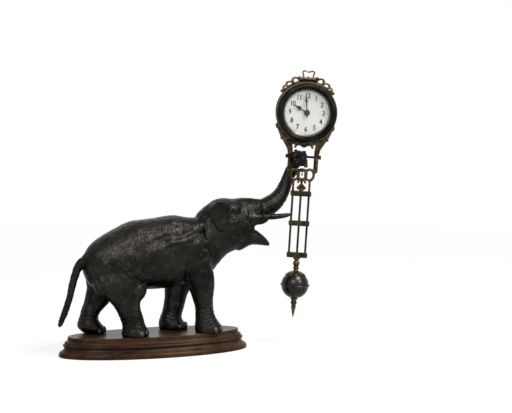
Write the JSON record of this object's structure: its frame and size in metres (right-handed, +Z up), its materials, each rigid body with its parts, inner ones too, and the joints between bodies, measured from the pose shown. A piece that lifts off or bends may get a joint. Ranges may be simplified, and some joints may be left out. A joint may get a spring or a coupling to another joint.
{
  "type": "mystery clock",
  "caption": "Cast elephant on an oval wood plinth holding in its raised trunk a swinging clock: a compound pendulum with a dial above, gridiron rods and a ball bob below.",
  "frame": {"origin": "centre of the plinth's flat underside", "axes": "+X along the plinth towards the elephant's head, +Z up, the dial looks towards -Y"},
  "size_m": [0.2704, 0.0726, 0.261],
  "materials": {
    "patinated_casting": "dark brown-black patina, satin, rubbed lighter on the high places",
    "polished_wood": "dark red-brown hardwood, french polished",
    "bronzed_frame": "antique bronze, rubbed",
    "gilt_brass": "gilt, worn",
    "steel": "blued and bare steel",
    "movement_brass": "plain brass",
    "ballast_iron": "raw casting",
    "dial_enamel": "pale enamel",
    "crystal_glass": "clear domed glass",
    "blackened_hands": "black"
  },
  "bodies": {
    "stand": {"plinth": "polished_wood", "foot_screws": "steel", "elephant_body": "patinated_casting", "near_fore_leg": "patinated_casting", "far_fore_leg": "patinated_casting", "near_hind_leg": "patinated_casting", "far_hind_leg": "patinated_casting", "trunk": "patinated_casting", "tail": "patinated_casting", "near_tusk": "patinated_casting", "far_tusk": "patinated_casting", "pivot_bracket": "steel"},
    "swinger": {"lyre_frame": "bronzed_frame", "cross_pin": "steel", "pin_nuts": "gilt_brass", "knife_block": "steel", "crown_ornament": "gilt_brass", "lower_ornament": "bronzed_frame", "pendulum_rods": "gilt_brass", "upper_crossbar": "bronzed_frame", "middle_crossbar": "bronzed_frame", "lower_crossbar": "bronzed_frame", "bob_stem": "bronzed_frame", "bob_upper_shell": "bronzed_frame", "bob_lower_shell": "bronzed_frame", "bob_belt": "bronzed_frame", "bob_cap": "gilt_brass", "bob_ballast": "ballast_iron", "bob_finial": "gilt_brass", "case_drum": "bronzed_frame", "bezel": "bronzed_frame", "crystal": "crystal_glass", "dial": "dial_enamel", "back_cover": "bronzed_frame", "front_plate": "movement_brass", "back_plate": "movement_brass", "pillars": "movement_brass", "pillar_nuts": "movement_brass"},
    "minute_train": {"center_arbor": "steel", "center_wheel": "movement_brass", "cannon_pinion": "movement_brass", "minute_hand": "blackened_hands", "hand_nut": "blackened_hands", "setting_knob": "gilt_brass"},
    "hour_train": {"hour_wheel": "movement_brass", "hour_hand": "blackened_hands"},
    "motion_wheel": {"minute_wheel": "movement_brass"},
    "going_barrel": {"barrel": "movement_brass", "mainspring": "steel"},
    "third_train": {"third_arbor": "steel", "third_wheel": "movement_brass"},
    "escape_train": {"escape_arbor": "steel", "escape_wheel": "movement_brass"},
    "winder": {"barrel_arbor": "steel", "ratchet_wheel": "steel", "winding_key": "gilt_brass"},
    "click_lever": {"click": "steel"},
    "escapement": {"pallet_anchor": "steel", "inner_pendulum": "movement_brass"}
  },
  "joints": [
    {"name": "swing", "type": "hinge", "parent": "stand", "child": "swinger", "pos_m": [0.1452, -0.0084, 0.1767], "axis": [0.2924, 0.9563, 0], "range_deg": [-5, 5]},
    {"name": "minute", "type": "hinge", "parent": "swinger", "child": "minute_train", "pos_m": [0.1479, -0.00923, 0.22161], "axis": [0.2924, 0.9563, 0], "continuous": true},
    {"name": "hour", "type": "hinge", "parent": "swinger", "child": "hour_train", "pos_m": [0.1479, -0.00923, 0.22161], "axis": [0.2924, 0.9563, 0], "continuous": true},
    {"name": "motion", "type": "hinge", "parent": "swinger", "child": "motion_wheel", "pos_m": [0.14535, -0.00845, 0.22699], "axis": [0.2924, 0.9563, 0], "continuous": true},
    {"name": "barrel", "type": "hinge", "parent": "swinger", "child": "going_barrel", "pos_m": [0.15772, -0.01223, 0.21713], "axis": [0.2924, 0.9563, 0], "continuous": true},
    {"name": "third", "type": "hinge", "parent": "swinger", "child": "third_train", "pos_m": [0.13792, -0.00617, 0.21854], "axis": [0.2924, 0.9563, 0], "continuous": true},
    {"name": "escape", "type": "hinge", "parent": "swinger", "child": "escape_train", "pos_m": [0.13768, -0.0061, 0.22874], "axis": [0.2924, 0.9563, 0], "continuous": true},
    {"name": "winding", "type": "hinge", "parent": "swinger", "child": "winder", "pos_m": [0.15772, -0.01223, 0.21713], "axis": [0.2924, 0.9563, 0], "continuous": true},
    {"name": "click", "type": "hinge", "parent": "swinger", "child": "click_lever", "pos_m": [0.16058, -0.0131, 0.22433], "axis": [0.2924, 0.9563, 0], "range_deg": [0, 8], "stiffness_Nm_per_rad": 0.002, "springref_deg": -11.46},
    {"name": "beat", "type": "hinge", "parent": "swinger", "child": "escapement", "pos_m": [0.14162, -0.00731, 0.23629], "axis": [0.2924, 0.9563, 0], "range_deg": [-4, 4]}
  ],
  "couplings": [
    {"joint": "minute", "follows": "third", "ratio": -0.13333},
    {"joint": "hour", "follows": "third", "ratio": -0.011111},
    {"joint": "motion", "follows": "third", "ratio": 0.044444},
    {"joint": "barrel", "follows": "third", "ratio": 0.022222},
    {"joint": "escape", "follows": "third", "ratio": -7.5}
  ]
}
